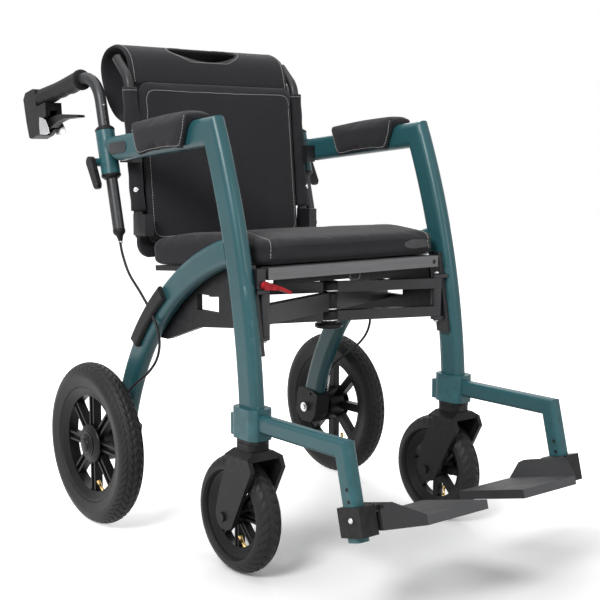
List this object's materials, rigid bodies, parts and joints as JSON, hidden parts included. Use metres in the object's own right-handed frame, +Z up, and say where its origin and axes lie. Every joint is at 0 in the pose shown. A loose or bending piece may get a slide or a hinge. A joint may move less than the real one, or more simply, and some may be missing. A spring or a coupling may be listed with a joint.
{
  "type": "rollator transport chair",
  "caption": "Folding rollator transport chair with bowed side tubes, padded seat and back, brake handles, spoked rear wheels, swivelling casters and hinged footplates",
  "frame": {"origin": "on the floor, in the middle of the overall length and width", "axes": "+X to the sitter's left, +Y towards the push handles, +Z up"},
  "size_m": [0.635, 1.1212, 0.901],
  "materials": {
    "frame_paint": "satin petrol powder coat",
    "charcoal_fabric": "fine woven charcoal cloth over foam, pale stitching",
    "dark_anodised": "dark grey anodised",
    "grip_rubber": "soft black rubber",
    "black_plastic": "fine-grained black moulding",
    "cable_sheath": "smooth dark sheath",
    "bright_steel": "zinc-plated steel",
    "rim_plastic": "black glass-filled nylon",
    "tyre_rubber": "black rubber with a fine tread",
    "black_metal": "black powder coat",
    "red_plastic": "smooth red moulding"
  },
  "bodies": {
    "frame_right": {"front_tube_right": "frame_paint", "rear_leg_right": "frame_paint", "armrest_pad_right": "charcoal_fabric", "cable_cover_right": "black_plastic", "side_fairing_right": "black_plastic", "axle_bracket_right": "black_plastic", "rear_axle_right": "bright_steel", "caster_head_right": "black_plastic", "footrest_tube_right": "frame_paint", "footplate_clamp_right": "black_plastic", "back_post_right": "black_metal", "hinge_bracket_right": "black_metal", "brake_cable_right": "cable_sheath", "back_panel": "charcoal_fabric", "head_flap": "charcoal_fabric", "back_bag": "charcoal_fabric"},
    "frame_left": {"front_tube_left": "frame_paint", "rear_leg_left": "frame_paint", "armrest_pad_left": "charcoal_fabric", "cable_cover_left": "black_plastic", "side_fairing_left": "black_plastic", "axle_bracket_left": "black_plastic", "rear_axle_left": "bright_steel", "caster_head_left": "black_plastic", "footrest_tube_left": "frame_paint", "footplate_clamp_left": "black_plastic", "back_post_left": "black_metal", "hinge_bracket_left": "black_metal", "brake_cable_left": "cable_sheath"},
    "arm_single": {"cross_arm_single": "black_metal", "centre_pin": "bright_steel"},
    "arm_double": {"cross_arm_double": "black_metal"},
    "seat": {"seat_beam": "black_metal", "seat_pan": "black_plastic", "seat_cushion": "charcoal_fabric"},
    "seat_latch": {"seat_latch": "red_plastic"},
    "handle_left": {"handle_tube_left": "dark_anodised", "grip_left": "grip_rubber", "brake_housing_left": "black_plastic"},
    "lever_left": {"brake_lever_left": "black_plastic"},
    "clamp_left": {"clamp_lever_left": "black_plastic"},
    "brake_arm_left": {"brake_arm_left": "bright_steel"},
    "rear_wheel_left": {"rear_rim_left": "rim_plastic", "rear_tyre_left": "tyre_rubber"},
    "caster_left": {"caster_fork_left": "black_plastic"},
    "front_wheel_left": {"front_rim_left": "rim_plastic", "front_tyre_left": "tyre_rubber"},
    "plate_left": {"footplate_left": "black_plastic"},
    "handle_right": {"handle_tube_right": "dark_anodised", "grip_right": "grip_rubber", "brake_housing_right": "black_plastic"},
    "lever_right": {"brake_lever_right": "black_plastic"},
    "clamp_right": {"clamp_lever_right": "black_plastic"},
    "brake_arm_right": {"brake_arm_right": "bright_steel"},
    "rear_wheel_right": {"rear_rim_right": "rim_plastic", "rear_tyre_right": "tyre_rubber"},
    "caster_right": {"caster_fork_right": "black_plastic"},
    "front_wheel_right": {"front_rim_right": "rim_plastic", "front_tyre_right": "tyre_rubber"},
    "plate_right": {"footplate_right": "black_plastic"}
  },
  "joints": [
    {"name": "fold", "type": "hinge", "parent": "frame_right", "child": "arm_single", "pos_m": [-0.1975, -0.20715, 0.431], "axis": [0, 0, 1], "range_deg": [0, 52], "deforming": ["back_panel", "head_flap", "back_bag", "seat_cushion"]},
    {"name": "fold_centre", "type": "hinge", "parent": "arm_single", "child": "arm_double", "pos_m": [0, -0.13527, 0.431], "axis": [0, 0, 1], "range_deg": [-104, 0]},
    {"name": "fold_left", "type": "hinge", "parent": "arm_double", "child": "frame_left", "pos_m": [0.1975, -0.20715, 0.431], "axis": [0, 0, 1], "range_deg": [0, 52]},
    {"name": "seat_flip", "type": "hinge", "parent": "frame_left", "child": "seat", "pos_m": [0.181, -0.20315, 0.497], "axis": [0, 1, 0], "range_deg": [0, 88.4]},
    {"name": "seat_latch_turn", "type": "hinge", "parent": "frame_right", "child": "seat_latch", "pos_m": [-0.204, -0.22115, 0.48], "axis": [0, 1, 0], "range_deg": [0, 25], "stiffness_Nm_per_rad": 0.6},
    {"name": "plate_flip_left", "type": "hinge", "parent": "frame_left", "child": "plate_left", "pos_m": [0.2089, -0.4728, 0.17526], "axis": [0, 0.9703, -0.2419], "range_deg": [0, 88.4]},
    {"name": "handle_slide_left", "type": "slide", "parent": "frame_left", "child": "handle_left", "axis": [0, 0.2419, 0.9703], "range_m": [-0.045, 0.09], "deforming": ["brake_cable_left"]},
    {"name": "brake_lever_turn_left", "type": "hinge", "parent": "handle_left", "child": "lever_left", "pos_m": [0.232, 0.48665, 0.7513], "axis": [-1, 0, 0], "range_deg": [0, 12], "stiffness_Nm_per_rad": 2},
    {"name": "clamp_lever_turn_left", "type": "hinge", "parent": "frame_left", "child": "clamp_left", "pos_m": [0.26, 0.25135, 0.67617], "axis": [1, 0, 0], "range_deg": [0, 90]},
    {"name": "brake_arm_turn_left", "type": "hinge", "parent": "frame_left", "child": "brake_arm_left", "pos_m": [0.24, 0.18085, 0.1825], "axis": [1, 0, 0], "range_deg": [0, 12]},
    {"name": "rear_wheel_spin_left", "type": "hinge", "parent": "frame_left", "child": "rear_wheel_left", "pos_m": [0.2925, 0.19685, 0.1525], "axis": [1, 0, 0], "continuous": true},
    {"name": "caster_swivel_left", "type": "hinge", "parent": "frame_left", "child": "caster_left", "pos_m": [0.232, -0.22215, 0.2], "axis": [0, 0, 1], "continuous": true},
    {"name": "front_wheel_spin_left", "type": "hinge", "parent": "caster_left", "child": "front_wheel_left", "pos_m": [0.232, -0.18415, 0.0995], "axis": [1, 0, 0], "continuous": true},
    {"name": "plate_flip_right", "type": "hinge", "parent": "frame_right", "child": "plate_right", "pos_m": [-0.2089, -0.4728, 0.17526], "axis": [0, -0.9703, 0.2419], "range_deg": [0, 88.4]},
    {"name": "handle_slide_right", "type": "slide", "parent": "frame_right", "child": "handle_right", "axis": [0, 0.2419, 0.9703], "range_m": [-0.045, 0.09], "deforming": ["brake_cable_right"]},
    {"name": "brake_lever_turn_right", "type": "hinge", "parent": "handle_right", "child": "lever_right", "pos_m": [-0.232, 0.48665, 0.7513], "axis": [-1, 0, 0], "range_deg": [0, 12], "stiffness_Nm_per_rad": 2},
    {"name": "clamp_lever_turn_right", "type": "hinge", "parent": "frame_right", "child": "clamp_right", "pos_m": [-0.26, 0.25135, 0.67617], "axis": [1, 0, 0], "range_deg": [0, 90]},
    {"name": "brake_arm_turn_right", "type": "hinge", "parent": "frame_right", "child": "brake_arm_right", "pos_m": [-0.24, 0.18085, 0.1825], "axis": [1, 0, 0], "range_deg": [0, 12]},
    {"name": "rear_wheel_spin_right", "type": "hinge", "parent": "frame_right", "child": "rear_wheel_right", "pos_m": [-0.2925, 0.19685, 0.1525], "axis": [1, 0, 0], "continuous": true},
    {"name": "caster_swivel_right", "type": "hinge", "parent": "frame_right", "child": "caster_right", "pos_m": [-0.232, -0.22215, 0.2], "axis": [0, 0, 1], "continuous": true},
    {"name": "front_wheel_spin_right", "type": "hinge", "parent": "caster_right", "child": "front_wheel_right", "pos_m": [-0.232, -0.18415, 0.0995], "axis": [1, 0, 0], "continuous": true}
  ],
  "couplings": [
    {"joint": "fold_centre", "follows": "fold", "ratio": -2},
    {"joint": "fold_left", "follows": "fold", "ratio": 1},
    {"joint": "seat_flip", "follows": "fold", "ratio": 1.7},
    {"joint": "plate_flip_left", "follows": "fold", "ratio": 1.7},
    {"joint": "brake_arm_turn_left", "follows": "brake_lever_turn_left", "ratio": 1},
    {"joint": "plate_flip_right", "follows": "fold", "ratio": 1.7},
    {"joint": "brake_arm_turn_right", "follows": "brake_lever_turn_right", "ratio": 1}
  ]
}
